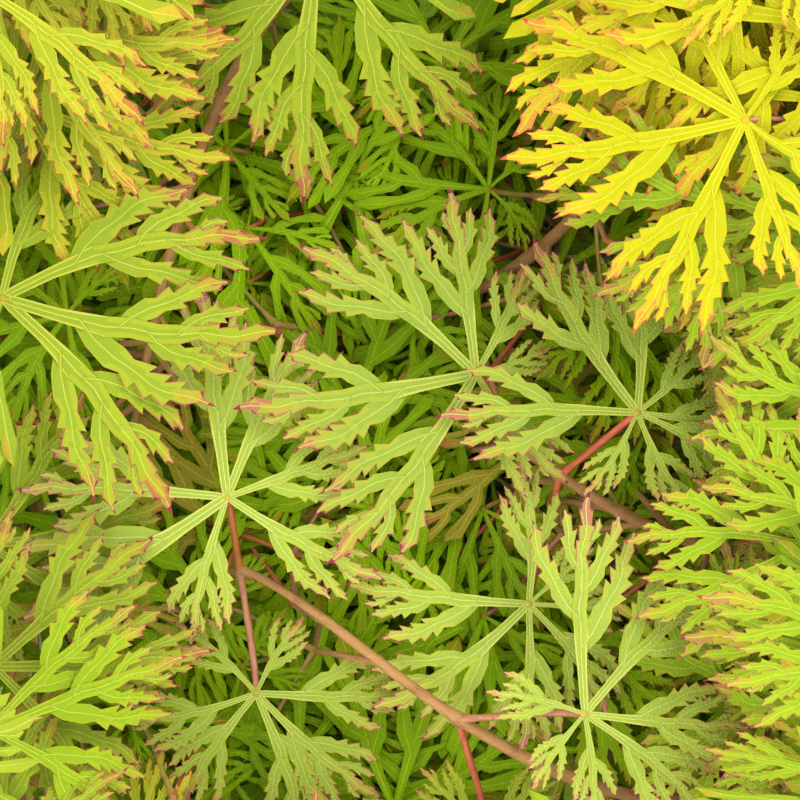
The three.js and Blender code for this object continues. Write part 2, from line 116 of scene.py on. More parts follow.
# The leaves with a stated place: shoot, share of it, hub, heading, lean, then the angle and reach of each
# lobe, or only the reach of the longest, and the tint.
# Their deep tint is painted shade, and their lime tint paints the glow of light through the leaves at the
# upper right.
PLACED = (
    ("front_left", 1, (-38.4, -21.6, 80), 100, (-0.05, 0.05),
     ((332, 40), (20, 34), (65, 42), (98, 50), (178, 49), (210, 56), (256, 35)), "pale"),
    ("front_left", 1, (-32.7, -66.7, 70), 275, (0.05, -0.05),
     ((140, 25), (192, 33), (237, 33), (288, 38), (318, 39), (358, 37), (57, 21)), "sage"),
    ("front_left", 0.55, (39.3, -66.8, 98), 0, (0.1, 0.1),
     ((235, 20), (275, 24), (320, 36), (355, 38), (40, 44), (87, 48), (168, 22)), "pale"),
    ("middle_left", 1, (16.7, 5.7, 84), 140, (0.1, 0.1),
     ((20, 19), (65, 28), (97, 43), (143, 49), (188, 54), (232, 53), (311, 32)), "sage"),
    ("middle_left", 0.74, (52, -2.8, 86), 42, (0.1, 0.1),
     ((237, 22), (300, 25), (327, 27), (357, 27), (45, 24), (92, 38), (119, 45), (181, 44)), "sage"),
    ("middle_left", 0.74, (29, -46, 74), 258, (0, -0.05),
     ((94, 33), (175, 42), (215, 44), (268, 36), (305, 33), (355, 24), (40, 20)), "pale"),
    ("front_left", 0.55, (19.7, -99.6, 66), 272, (0, -0.15), 46, "meadow"),
    ("under_left", 0.34, (37.4, -29.5, 54), 300, (0, 0), 28, "deep"),
    ("tip", 0.15, (-17.3, 99, 92), 268, (0, -0.3), 58, "meadow"),
    ("tip", 0.62, (-78.5, 77.4, 115), -8, (0.3, 0), 48, "spring"),
    ("tip", 0.8, (-80, 62.8, 99), -24, (0.3, -0.1), 48, "spring"),
    ("tip", 1, (-84.6, 21.7, 98), -12, (0.1, 0.05), 58, "meadow"),
    ("low_left", 0.92, (-86.4, -69.5, 102), 8, (0.2, 0), 42, "fresh"),
    ("low_left", 0.96, (-88.3, -57.8, 90), 0, (0.15, 0), 46, "meadow"),
    ("low_left", 1, (-91.3, -31.9, 82), 10, (0.1, 0), 42, "meadow"),
    ("over_right", 0.8, (68.5, 55.6, 125), 192, (-0.35, 0), 54, "lime"),
    ("over_right", 1, (87, 43.6, 108), 212, (-0.3, -0.1), 46, "lime"),
    ("middle_right", 0.8, (83, -29.8, 112), 168, (-0.3, 0), 40, "fresh"),
    ("middle_right", 1, (78.3, -63.5, 102), 158, (-0.25, 0), 42, "fresh"),
    ("back_right", 0.5, (58, 84, 118), 215, (-0.3, -0.1), 50, "lime"),
)


# Chance and vectors


def chance(*keys):
    """A number from 0 to 1 that depends only on the keys."""
    h = 0x9E3779B9
    for key in keys:
        h = ((h ^ key) * 0x85EBCA6B) & 0xFFFFFFFF
        h ^= h >> 13
        h = (h * 0xC2B2AE35) & 0xFFFFFFFF
        h ^= h >> 16
    return h / 4294967296


def between(span, *keys):
    return span[0] + (span[1] - span[0]) * chance(*keys)


def either(reach, *keys):
    return reach * (2 * chance(*keys) - 1)


def unit(v):
    return v / np.linalg.norm(v)


def turned(v, axis, angle):
    return (
        v * math.cos(angle)
        + np.cross(axis, v) * math.sin(angle)
        + axis * (np.dot(axis, v) * (1 - math.cos(angle)))
    )


def bezier(points, t):
    """Places on a curve at one share of it or at several."""
    points = [np.asarray(p, float) for p in points]
    t = np.asarray(t, float)[..., None]
    while len(points) > 1:
        points = [a + (b - a) * t for a, b in zip(points, points[1:])]
    return points[0] if points[0].ndim else points[0] * np.ones_like(t)


def heading_at(points, t):
    steps = [np.subtract(b, a) for a, b in zip(points, points[1:])]
    return unit(bezier(steps, t))


def distances(path):
    """How far along a path each of its places is."""
    return np.concatenate([[0], np.cumsum(np.linalg.norm(np.diff(path, axis=0), axis=1))])


def evenly(points, first, final, count):
    """Places at even distances along a curve, from one share of it to another."""
    fine = bezier(points, np.linspace(first, final, 400))
    gone = distances(fine)
    wanted = np.linspace(0, gone[-1], count)
    return np.stack([np.interp(wanted, gone, fine[:, k]) for k in range(3)], axis=1)


# Growth rule


def leaf_at(root, direction, hub, axis, normal, lobes, droop):
    """A leaf. Each lobe has an angle, a curl and a reach. The order is less only for a stated place."""
    return {
        "root": root, "direction": direction, "hub": hub, "axis": axis, "normal": normal,
        "lateral": np.cross(normal, axis), "lobes": lobes, "droop": droop, "order": len(PLACED),
    }


def ruled_lobes(length, keys):
    return [
        (
            angle + either(5, *keys, 20 + i),
            either(12, *keys, 30 + i),
            length * share * (1 + either(0.07, *keys, 40 + i)),
        )
        for i, (angle, share) in enumerate(zip(LOBE_ANGLES, LOBE_LENGTHS))
    ]


def ruled_stance(root, tangent, turn, own, late):
    """A stalk's direction, and the hub, axis and normal of its leaf. Late tries are dealt more widely."""
    side = unit(np.cross(UP, tangent))
    above = np.cross(tangent, side)
    away = math.radians(between((38, 70), *own, 1))
    around = math.radians(turn + either(25 + 60 * late, *own, 2))
    direction = (
        tangent * math.cos(away)
        + side * (math.sin(away) * math.cos(around))
        + above * (math.sin(away) * math.sin(around))
    )
    hub = root + direction * between(STALK_LENGTH, *own, 3) + UP * between((0, 8), *own, 4)
    heading = unit(direction - UP * direction[2])
    heading = turned(heading, UP, math.radians(either(22 + 30 * late, *own, 5)))
    dip = math.radians(between((0, 28), *own, 6))
    roll = math.radians(either(16 + 18 * late, *own, 7))
    axis = unit(heading * math.cos(dip) - UP * math.sin(dip))
    normal = turned(unit(UP - axis * axis[2]), axis, roll)
    return direction, hub, axis, normal


def ruled_leaf(root, tangent, turn, keys, attempt, mass=None):
    """The leaf that the rule gives at one try. With a mass, nothing unless that holds the leaf's hub."""
    own = (*keys, attempt)
    late = attempt / TRIES
    direction, hub, axis, normal = ruled_stance(root, tangent, turn, own, late)
    if mass and not held(hub + normal * HUB_HALF_THICKNESS, mass):
        return None
    length = between(LEAF_LENGTH, *own, 8) * (1 - 0.3 * late)
    return leaf_at(
        root, direction, hub, axis, normal, ruled_lobes(length, own), between((0.2, 0.34), *own, 9)
    )


def placed_leaf(spec, curve, keys, attempt):
    """A leaf with a stated place, moved along its line to the eye at each try."""
    _, share, hub, heading, lean, lobes, _ = spec
    root = bezier(curve, share)
    rise = (PLACED_STEP if attempt % 2 else -PLACED_STEP) * math.ceil(attempt / 2)
    hub = np.array(hub, float)
    hub = hub + (EYE - hub) * (rise / (EYE[2] - hub[2]))
    turn = math.radians(heading)
    forward = np.array([math.cos(turn), math.sin(turn), 0.0])
    normal = unit(np.array([*lean, 1.0]))
    axis = unit(forward - normal * np.dot(forward, normal))
    if isinstance(lobes, tuple):
        lobes = [((((angle - heading) % 360) + 540) % 360 - 180, 0, reach) for angle, reach in lobes]
    else:
        lobes = ruled_lobes(lobes, keys)
    return leaf_at(root, unit(hub - root), hub, axis, normal, lobes, PLACED_DROOP)


def on_leaf(leaf, lobe, x, y, z):
    """Places on a lobe: x along it, y across it and z off it, all as shares of its reach."""
    angle, curl, reach = lobe
    x, y, z = (np.asarray(v, float) for v in (x, y, z))
    turn = np.radians(angle + curl * x)
    lift = LOBE_RISE * x - leaf["droop"] * x * x + z
    along = (x * np.cos(turn) - y * np.sin(turn))[..., None]
    across = (x * np.sin(turn) + y * np.cos(turn))[..., None]
    return leaf["hub"] + reach * (
        leaf["axis"] * along + leaf["lateral"] * across + leaf["normal"] * lift[..., None]
    )


def corners_of(node):
    corners = kdtree.KDTree(len(node.data.vertices))
    for i, v in enumerate(node.data.vertices):
        corners.insert(v.co, i)
    corners.balance()
    return corners


def held(place, mass):
    """Whether the mass, given as its corners, has one at this place."""
    return mass.find((place + SET_DOWN) / 1000)[2] < LOOSE / 1000


def as_grown(candidate, mass):
    """The first try at a leaf whose every lobe tip is a corner of the mass."""
    for attempt in range(TRIES):
        leaf = candidate(attempt)
        if leaf and all(held(on_leaf(leaf, lobe, 1, 0, 0), mass) for lobe in leaf["lobes"]):
            return leaf
    return None


def grown_twig(root, tangent, turn, keys, mass):
    """A side twig with its pair of leaves, where the mass has one."""
    for attempt in range(TRIES):
        direction = ruled_stance(root, tangent, turn, (*keys, attempt), attempt / TRIES)[0]
        length = between(TWIG_LENGTH, *keys, attempt, 10)
        end = root + direction * length
        leaves = []
        for hand, twig_turn in ((1, 30), (2, 210)):
            leaf_keys = (*keys, attempt, hand)
            leaf = as_grown(
                lambda n, t=twig_turn, k=leaf_keys: ruled_leaf(end, direction, t, k, n, mass), mass
            )
            if leaf:
                leaves.append(leaf)
        if leaves:
            return (root, root + direction * length * 0.5 + UP * TWIG_BOW, end), leaves
    return None, []


curves = {
    name: (bezier(MAIN_STEM, at), *(np.array(p, float) for p in by), np.array(tip, float))
    for name, (at, by, tip, *_) in SHOOTS.items()
}
masses = {name: corners_of(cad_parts[f"foliage_{name}"]) for name in SHOOTS}
leaves = {name: [] for name in SHOOTS}
twigs = {name: [] for name in SHOOTS}

for order, spec in enumerate(PLACED):
    name = spec[0]
    keys = (list(SHOOTS).index(name), 100 + order)
    leaf = as_grown(lambda n: placed_leaf(spec, curves[name], keys, n), masses[name])
    leaf["tint"] = spec[-1]
    leaf["order"] = order
    leaves[name].append(leaf)

for index, (name, spec) in enumerate(SHOOTS.items()):
    pairs, (first, final) = spec[4], spec[5]
    for pair in range(pairs):
        share = first + (final - first) * pair / (pairs - 1)
        root = bezier(curves[name], share)
        tangent = heading_at(curves[name], share)
        turn = (25, 70, -30)[pair % 3]
        for hand, side in ((1, turn), (2, turn + 180)):
            keys = (index, pair, hand)
            if share < 1 and chance(*keys) < TWIG_SHARE:
                twig, pair_leaves = grown_twig(root, tangent, side, keys, masses[name])
                if twig:
                    twigs[name].append(twig)
                    leaves[name] += pair_leaves
            else:
                leaf = as_grown(
                    lambda n: ruled_leaf(root, tangent, side, keys, n, masses[name]), masses[name]
                )
                if leaf:
                    leaves[name].append(leaf)

print("leaves of the solids found again:", sum(map(len, leaves.values())))


# Finer twigs and leaves, by the same rule, where there is room


def sampled(leaf):
    """Places along the middle of each lobe."""
    shares = np.array([0.3, 0.5, 0.7, 0.85, 1.0])
    return np.concatenate([on_leaf(leaf, lobe, shares, 0 * shares, 0 * shares) for lobe in leaf["lobes"]])


def seen(places):
    """Where places show in the view, in pixels right of its middle and above it."""
    scale = SHARP_SCALE * SHARP_DISTANCE / (EYE[2] - places[..., 2])
    return places[..., 0] * scale, places[..., 1] * scale


def in_view(places, margin):
    right, above = seen(places)
    return (np.abs(right) < HALF_VIEW + margin) & (np.abs(above) < HALF_VIEW + margin)


def veils(places):
    """Which places stand high in the open middle of the view, and not at its leafy edge and corners."""
    right, above = seen(places)
    right_edge = (right > 275) | ((right > 130) & (above > 90))
    left_corners = ((right < -190) & (above > 200)) | ((right < -220) & (above < -240))
    return in_view(places, 30) & ~right_edge & ~left_corners & (places[..., 2] > OPEN_LEVEL)


STEM_STEPS = 160
LIMB_STEPS = 60
wood_places = np.concatenate(
    [evenly(MAIN_STEM, 0, 1, STEM_STEPS), *(evenly(curve, 0, 1, LIMB_STEPS) for curve in curves.values())]
)
wood_radii = np.concatenate(
    [np.linspace(*STEM_RADII, STEM_STEPS), np.full(LIMB_STEPS * len(SHOOTS), BOUGH_RADII[0])]
)
taken = [sampled(leaf) for grown in leaves.values() for leaf in grown]
hubs = [leaf["hub"] for grown in leaves.values() for leaf in grown]


def has_room(leaf):
    """Whether a leaf stays in the crown, out of the open view and clear of wood and other leaves."""
    places = sampled(leaf)
    if places[:, 2].min() < FINER_LEVELS[0] or places[:, 2].max() > FINER_LEVELS[1]:
        return False
    out = (places[:, :2] - CROWN_MIDDLE) / (CROWN_REACH - CROWN_MARGIN)
    if np.linalg.norm(out, axis=1).max() > 1:
        return False
    if veils(places).any():
        return False
    if min(np.linalg.norm(leaf["hub"] - hub) for hub in hubs) < HUBS_APART:
        return False
    gaps = np.linalg.norm(places[:, None] - wood_places[None], axis=2) - wood_radii
    if gaps.min() < CLEARANCE:
        return False
    near = [t for t in taken if np.abs(t.mean(axis=0) - places.mean(axis=0)).max() < LEAVES_APART]
    if not near:
        return True
    near = np.concatenate(near)
    return np.linalg.norm(places[:, None] - near[None], axis=2).min() > CLEARANCE


def finer_leaves(end, direction, keys):
    """Up to three leaves at a twig's end."""
    found = []
    for place, turn in enumerate((30, 210, 120)):
        for attempt in range(FINER_LEAF_TRIES):
            leaf = ruled_leaf(end, direction, turn, (*keys, place), attempt)
            if has_room(leaf):
                found.append(leaf)
                hubs.append(leaf["hub"])
                taken.append(sampled(leaf))
                break
    return found


def finer_twig(root, tangent, turn, keys):
    for attempt in range(FINER_TWIG_TRIES):
        own = (*keys, attempt)
        direction = ruled_stance(root, tangent, turn, own, 0.5)[0]
        length = between(FINER_TWIG_LENGTH, *own, 11)
        end = root + direction * length
        if end[2] < LOWEST_TWIG_END or veils(end):
            continue
        found = finer_leaves(end, direction, own)
        if found:
            return (root, root + direction * length * 0.5 + UP * FINER_TWIG_BOW, end), found
    return None, []


for index, (name, spec) in enumerate(SHOOTS.items()):
    first = max(spec[3], 0.1)
    for step in range(FINER_STEPS):
        share = first + (1 - first) * (step + 0.5) / FINER_STEPS
        root = bezier(curves[name], share)
        tangent = heading_at(curves[name], share)
        for hand, side in ((1, 60 - 45 * (step % 3)), (2, 240 - 45 * (step % 3))):
            twig, found = finer_twig(root, tangent, side, (index, 60 + step, hand))
            if twig:
                twigs[name].append(twig)
                leaves[name] += found
print("leaves in all:", sum(map(len, leaves.values())))


# Meshes


class Skin:
    """Vertices, four-sided faces, the slot of each face and a place along and around for each vertex."""

    def __init__(self):
        self.places, self.faces, self.slots, self.maps = [], [], [], []
        self.count = 0

    def add(self, places, faces, slots, maps=None):
        self.places.append(places)
        self.faces.append(np.asarray(faces) + self.count)
        self.slots.append(np.broadcast_to(slots, len(faces)))
        self.maps.append(np.zeros((len(places), 2)) if maps is None else maps)
        self.count += len(places)

    def finish(self, name, looks, slot, replaced):
        places = (np.concatenate(self.places) + SET_DOWN) / 1000
        faces = np.concatenate(self.faces)
        mesh = bpy.data.meshes.new(name)
        mesh.from_pydata(places.tolist(), [], faces.tolist())
        mesh.polygons.foreach_set("material_index", np.concatenate(self.slots).astype(np.int32))
        mesh.polygons.foreach_set("use_smooth", np.ones(len(faces), bool))
        layer = mesh.uv_layers.new(name="along")
        layer.data.foreach_set("uv", np.concatenate(self.maps)[faces.ravel()].ravel())
        mesh.update()
        for look in looks:
            mesh.materials.append(look)
        piece = bpy.data.objects.new(name, mesh)
        bpy.context.scene.collection.objects.link(piece)
        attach(piece, "root")
        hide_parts(replaced)


def rounds(path, radii, sides, first_side=None):
    """Rings round a path, each turned as little as possible from the one before."""
    tangents = np.gradient(path, axis=0)
    tangents /= np.linalg.norm(tangents, axis=1)[:, None]
    side = first_side if first_side is not None else np.cross(tangents[0], UP)
    around = 2 * np.pi * np.arange(sides) / sides
    rings = []
    for place, tangent, radius in zip(path, tangents, radii):
        side = unit(side - tangent * np.dot(side, tangent))
        up = np.cross(side, tangent)
        reach = np.broadcast_to(radius, sides)[:, None]
        rings.append(place + reach * (np.cos(around)[:, None] * side + np.sin(around)[:, None] * up))
    return np.array(rings)


def wrapped(rows, sides):
    """Faces between rings."""
    i, k = np.meshgrid(np.arange(rows - 1), np.arange(sides), indexing="ij")
    a = i * sides + k
    b = i * sides + (k + 1) % sides
    return np.stack([a, b, b + sides, a + sides], axis=-1).reshape(-1, 4)


def add_rings(skin, rings, gone, slot=0):
    """Rings joined up, with the bark mapped by millimetres along and turns around."""
    rows, sides, _ = rings.shape
    maps = np.stack(np.broadcast_arrays(gone[:, None], np.arange(sides)[None] / sides), axis=-1)
    skin.add(rings.reshape(-1, 3), wrapped(rows, sides), slot, maps.reshape(-1, 2))


# The rings of a limb's blunt end: how far past its last place and how wide, in shares of the last radius
BLUNT_STEPS = (0.4, 0.65, 0.75)
BLUNT_WIDTHS = (0.85, 0.5, 0.02)


def add_limb(skin, path, radii, sides, slot=0):
    """A round limb with a blunt end."""
    gone = distances(path)
    radii = [np.asarray(r, float) for r in radii]
    tip = unit(path[-1] - path[-2])
    last = float(np.mean(radii[-1]))
    path = np.concatenate([path, [path[-1] + tip * last * s for s in BLUNT_STEPS]])
    radii += [radii[-1] * s for s in BLUNT_WIDTHS]
    gone = np.concatenate([gone, gone[-1] + last * np.array(BLUNT_STEPS)])
    add_rings(skin, rounds(path, radii, sides), gone, slot)


def ripple(place, *keys):
    """A smooth wave along a path, from -1 to 1."""
    total = 0
    for i, pitch in enumerate((1.0, 2.3, 5.1)):
        total = total + np.sin(place * pitch + 6.28 * chance(*keys, i)) / (1 + i)
    return total / 1.83


def bump(off, width):
    """A smooth rise of height 1 at no distance."""
    return np.exp(-((off / width) ** 2))


# A leaf's lobe, all in shares of its reach: a grooved main blade with a toothed end, and toothed side blades
# on it by turns. Each face has one of these zones.
ZONES = ("rib", "band", "blade", "outer blade", "margin", "blush", "tip")
RIB, BAND, BLADE, OUTER, MARGIN, BLUSH, TIP = range(7)

# Half widths of the main blade at shares of its length, and of a side blade of length 1
MAIN_AT = (0, 0.05, 0.2, 0.29, 0.37, 0.46, 0.58, 0.68, 0.77, 0.87, 0.95, 1)
MAIN_WIDTHS = (0.014, 0.02, 0.023, 0.029, 0.036, 0.035, 0.034, 0.033, 0.034, 0.029, 0.015, 0)
SIDE_AT = (0, 0.15, 0.32, 0.5, 0.7, 0.86, 0.93, 1)
SIDE_WIDTHS = (0.05, 0.072, 0.08, 0.086, 0.072, 0.038, 0.018, 0)
# Stations before and after the teeth, for a fine blade and for a plain one
MAIN_STOPS = {
    True: ((0, 0.05, 0.2, 0.29, 0.37, 0.46, 0.55, 0.64), (0.925, 0.965, 1)),
    False: ((0, 0.2, 0.37, 0.55), (0.94, 1)),
}
SIDE_STOPS = {True: ((0, 0.15, 0.32), (0.9, 0.95, 1)), False: ((0, 0.25), (1,))}
# The teeth: the share of the blade's length that they take up, how far each is bitten in and drawn out
MAIN_TEETH, MAIN_TEETH_SPAN, MAIN_BITE = 3, (0.7, 0.91), (0.74, 1.25)
SIDE_TEETH_SPAN, PLAIN_TEETH_SPAN, SIDE_BITE = (0.42, 0.87), (0.5, 0.87), (0.7, 1.4)
# Each side blade: where it starts, its length, the angle that it swings out by and its teeth
SIDE_BLADES = (
    (0.29, 0.55, 41, 4),
    (0.4, 0.46, 42, 3),
    (0.52, 0.36, 40, 3),
    (0.62, 0.27, 38, 2),
    (0.71, 0.18, 36, 2),
)
MAIN_RIB = 0.0021
SIDE_RIB = 0.0017
PLAIN_RIB = 1.6  # how much wider the rib of a plain blade is
STRAP_STOPS = 4  # the fine main blade is a bare strap up to this station
STRAP_BAND = 0.3  # the share of the strap that is pale at each side
NOTCH_RIM, POINT_RIM = 0.004, 0.007
GROOVE = 0.16  # how steeply a blade rises from its rib
LAYER = 0.0008  # how far each blade lies under the one before
RIB_REACH = 0.003  # places this near to the middle of a side blade are its rib
RIB_LIFT, ROOT_DROP = 0.0065, -0.01  # at its root, so that only its rib shows there and joins the main rib
CURVED_ON = 0.3  # how much it curves towards the lobe's tip
NEAR_MAIN = 0.05  # up to this far from the main rib it has the slope of the main blade
SUNK = 0.003  # and lies this far under it
PLAIN_ROOT = 0.26  # the share of it whose edges have no pale margin
WEAVE, WEAVE_PITCH = 0.008, 0.23  # the whole lobe bends from side to side


def plain(stops, width, length=1):
    """Stations without teeth: middle, edge, half width and whether it is the point of a tooth."""
    return [(s * length, s * length, width(s * length), False) for s in stops]


def toothed(first, final, teeth, width, bitten, drawn):
    """Stations with teeth that lean forward, bitten in before each and drawn out at its point."""
    stations = []
    pitch = (final - first) / teeth
    for k in range(teeth):
        start = first + pitch * k
        point = start + pitch * 0.55
        stations.append((start, start - 0.06 * pitch, width(start) * bitten, False))
        stations.append((point, start + pitch * 0.98, width(point) * drawn, True))
    return stations


def blade(stations, rib, fine, strap, blushed, *keys):
    """A strip from root to point: places, faces and zones. Past the share blushed, its margin blushes."""
    middles, edges, widths, points = (np.array(v) for v in zip(*stations))
    points = points.astype(bool)
    safe = np.maximum(widths, 1e-4)
    inner = np.minimum((rib if fine else PLAIN_RIB * rib) / safe, 0.3)
    right = [inner, np.ones_like(inner)]
    zones = [BLADE, RIB, RIB, BLADE]
    if fine:
        rim = np.where(points, POINT_RIM, NOTCH_RIM)
        rim = np.where(np.arange(len(middles)) < strap, STRAP_BAND * safe, rim)
        right.insert(1, np.clip(1 - rim / safe, 0.6, 1))
        right.insert(1, 0.5 * (right[0] + right[1]))
        zones = [MARGIN, OUTER, BLADE, RIB, RIB, BLADE, OUTER, MARGIN]
    right = np.stack(right)
    across = np.concatenate([-right[::-1], [np.zeros_like(middles)], right])
    x = middles + (edges - middles) * np.abs(across)
    y = widths * across
    rows, columns = len(middles), len(across)
    i, k = (v.ravel() for v in np.meshgrid(np.arange(rows - 1), np.arange(columns - 1), indexing="ij"))
    a = i + k * rows
    faces = np.stack([a, a + 1, a + rows + 1, a + rows], axis=-1)

    # Each line of faces changes its zone along the blade, a little sooner or later from face to face
    zone = np.array(zones)[k]
    share = middles[i] / middles[-1]
    dealt = np.array([chance(*keys, 40, n) for n in range(len(i))])
    ripe = share + 0.16 * dealt - either(0.05, *keys, 41)
    for old, where, new in (
        (BLADE, share + 0.35 * dealt > 0.8, OUTER),
        (OUTER, share + 0.3 * dealt < 0.42, BLADE),
        (MARGIN, i < strap, BAND),
        (MARGIN, (strap > 0) & (share < 0.5), OUTER),
        (MARGIN, share > blushed, BLUSH),
        (BLUSH, points[i], TIP),
        (OUTER, ripe > 0.86, MARGIN),
        (MARGIN, ripe > 0.95, BLUSH),
    ):
        zone = np.where((zone == old) & where, new, zone)
    return np.stack([x.ravel(), y.ravel()], axis=-1), faces, np.where(share > 0.945, TIP, zone)


def main_blade(girth, fine, *keys):
    def width(x):
        return girth * np.interp(x, MAIN_AT, MAIN_WIDTHS)

    before, after = MAIN_STOPS[fine]
    edge = plain(before, width)
    edge += toothed(*MAIN_TEETH_SPAN, MAIN_TEETH if fine else 1, width, *MAIN_BITE)
    edge += plain(after, width)
    return blade(edge, MAIN_RIB, fine, STRAP_STOPS if fine else 0, 0.6, *keys, 9)


def side_blade(size, rank, teeth, fine, *keys):
    length = size * (1 + either(0.12, *keys, 2))
    stout = size * (1 + 0.1 * rank) * (1 + either(0.1, *keys, 4))

    def width(x):
        return stout * np.interp(x / length, SIDE_AT, SIDE_WIDTHS)

    before, after = SIDE_STOPS[fine]
    start, end = SIDE_TEETH_SPAN if fine else PLAIN_TEETH_SPAN
    edge = plain(before, width, length)
    edge += toothed(length * start, length * end, teeth if fine else 1, width, *SIDE_BITE)
    edge += plain(after, width, length)
    return blade(edge, SIDE_RIB, fine, 0, 0.5, *keys, 9)


def set_on(flat, lift, root, swing, *keys):
    """A side blade on the main one, curved forward, with its root sunk and its rib run up to the main rib."""
    x, y = flat[:, 0], flat[:, 1]
    share = x / x.max()
    ribbed = np.abs(y) < RIB_REACH
    near = np.maximum(0, 1 - share / np.where(ribbed, 0.5, 0.17))
    lift = lift * np.minimum(1, 2 * share) + np.where(ribbed, RIB_LIFT, ROOT_DROP) * near
    y = y - math.copysign(CURVED_ON, swing) * x * share
    cos, sin = math.cos(swing), math.sin(swing)
    along, aside = root + x * cos - y * sin, x * sin + y * cos
    off = np.maximum(np.abs(aside) - NEAR_MAIN, 0)
    lift = lift + GROOVE * np.minimum(np.abs(aside), NEAR_MAIN) - SUNK
    lift = lift + off * either(0.1, *keys, 5) - 0.5 * off * off + y * off * either(1.2, *keys, 6)
    return along, aside, lift


def lobe_shape(variant, fine):
    """One lobe in shares of its reach: places (along, across, lift), faces and zones."""
    keys = (700, variant)
    girth = 1 + either(0.1, *keys, 1)
    first = 1 if chance(*keys, 2) < 0.5 else -1
    parts = [(main_blade(girth, fine, *keys), 0, 0, keys)]
    for rank, (start, size, swing, teeth) in enumerate(SIDE_BLADES):
        own = (*keys, rank, 5)
        side = first * (1 - 2 * (rank % 2))
        swung = math.radians(swing + either(4, *own, 3)) * side
        parts.append((side_blade(size, rank, teeth, fine, *own), start + either(0.016, *own, 1), swung, own))

    places, faces, zones, count = [], [], [], 0
    for depth, ((flat, quads, zone), root, swing, own) in enumerate(parts, 1):
        along, aside = flat[:, 0], flat[:, 1]
        lift = GROOVE * np.abs(aside) - LAYER * depth
        if swing:
            rooted = along[quads[:, 0]] < PLAIN_ROOT * along.max()
            zone = np.where((zone == MARGIN) & rooted, OUTER, zone)
            along, aside, lift = set_on(flat, lift, root, swing, *own)
        weave = WEAVE * first * np.sin(2 * np.pi * (along - 0.3) / WEAVE_PITCH)
        aside = aside + weave * np.clip(4 * along - 1, 0, 1)
        places.append(np.stack([along, aside, lift], axis=-1))
        faces.append(quads + count)
        zones.append(zone)
        count += len(flat)
    return np.concatenate(places), np.concatenate(faces), np.concatenate(zones)


VARIANTS = 9
LOBES = {fine: [lobe_shape(v, fine) for v in range(VARIANTS)] for fine in (False, True)}
FINE_LEVEL = 61  # lobes in the view, above this height and longer than this, are finely cut
FINE_REACH = 15
KNOB = ((-0.2, 0.9), (0.22, 0.85), (0.42, 0.55), (0.5, 0.02))  # at a leaf's hub: height and radius
KNOB_SIDES = 8


def add_leaf(skin, leaf, first_slot, *keys):
    """A leaf's lobes, each mirrored, bent and bowed by chance, and the knob at its hub."""
    for i, lobe in enumerate(leaf["lobes"]):
        variant = int(chance(*keys, i) * VARIANTS)
        middle = on_leaf(leaf, lobe, *np.array([[0.6], [0], [0]]))[0]
        fine = bool(in_view(middle, 10) and middle[2] > FINE_LEVEL and lobe[2] > FINE_REACH)
        places, faces, slots = LOBES[fine][variant]
        x, y, z = places.T
        if chance(*keys, i, 1) < 0.5:
            y = -y
        y = y + either(0.06, *keys, i, 5) * np.sin(3.1416 * np.minimum(x, 1))
        wave = 0.008 * np.sin(x * 14 + 6 * chance(*keys, i, 4)) * x
        bow = either(0.035, *keys, i, 3) * np.sin(x * 3.1) + wave
        z = z + y * either(0.22, *keys, i, 2) * x + bow * np.minimum(1, 6 * (1 - x)) * x + 0.0006 * i
        skin.add(on_leaf(leaf, lobe, x, y, z), faces, slots + first_slot)
    path = np.array([leaf["hub"] + leaf["normal"] * lift for lift, _ in KNOB])
    knob = rounds(path, [r for _, r in KNOB], KNOB_SIDES, leaf["axis"])
    skin.add(knob.reshape(-1, 3), wrapped(len(KNOB), KNOB_SIDES), first_slot + MARGIN)


# Kinds of stalk, those of the first placed leaves, and the radii of theirs, of long ones and of short ones
ORANGE_STALK, RED_STALK, PINK_STALK, GREEN_STALK = range(4)
STATED_STALKS = (ORANGE_STALK, PINK_STALK, PINK_STALK, ORANGE_STALK, RED_STALK, RED_STALK, RED_STALK)
STATED_GIRTH, LONG_GIRTH, SHORT_GIRTH = 0.82, 0.62, 0.54
LONG_STALK = 12


def stalk_of(leaf, tint, *keys):
    if leaf["order"] < len(STATED_STALKS):
        return STATED_STALKS[leaf["order"]]
    if tint in ("deep", "shade") and chance(*keys, 6) < 0.5:
        return GREEN_STALK
    return int(chance(*keys, 7) * GREEN_STALK)


STALK_RINGS = 11
STALK_SIDES = 6


def add_stalk(skin, leaf, slot, *keys):
    """A leaf stalk, a little swollen at both ends, that runs out and then up under the hub."""
    root, hub = leaf["root"], leaf["hub"]
    reach = np.linalg.norm(hub - root)
    into = hub - leaf["axis"] * reach * 0.28 - UP * reach * 0.16
    under = hub - leaf["normal"] * HUB_HALF_THICKNESS
    curve = (root, root + leaf["direction"] * reach * 0.4, into, under)
    share = np.linspace(0, 1, STALK_RINGS) ** 1.15
    bulge = 0.45 * bump(share, 0.055) + 0.12 * bump(1 - share, 0.04)
    girth = LONG_GIRTH if reach > LONG_STALK else SHORT_GIRTH
    if leaf["order"] < len(STATED_STALKS):
        girth = STATED_GIRTH
    radii = girth * (1 + bulge / LONG_GIRTH + 0.05 * ripple(share * 20, *keys))
    add_limb(skin, bezier(curve, share), radii, STALK_SIDES, slot)


# Looks


def paint(code):
    """A colour written as on a screen, for a shader."""
    parts = [int(code[i : i + 2], 16) / 255 for i in (1, 3, 5)]
    return (*((c / 12.92 if c <= 0.04045 else ((c + 0.055) / 1.055) ** 2.4) for c in parts), 1)


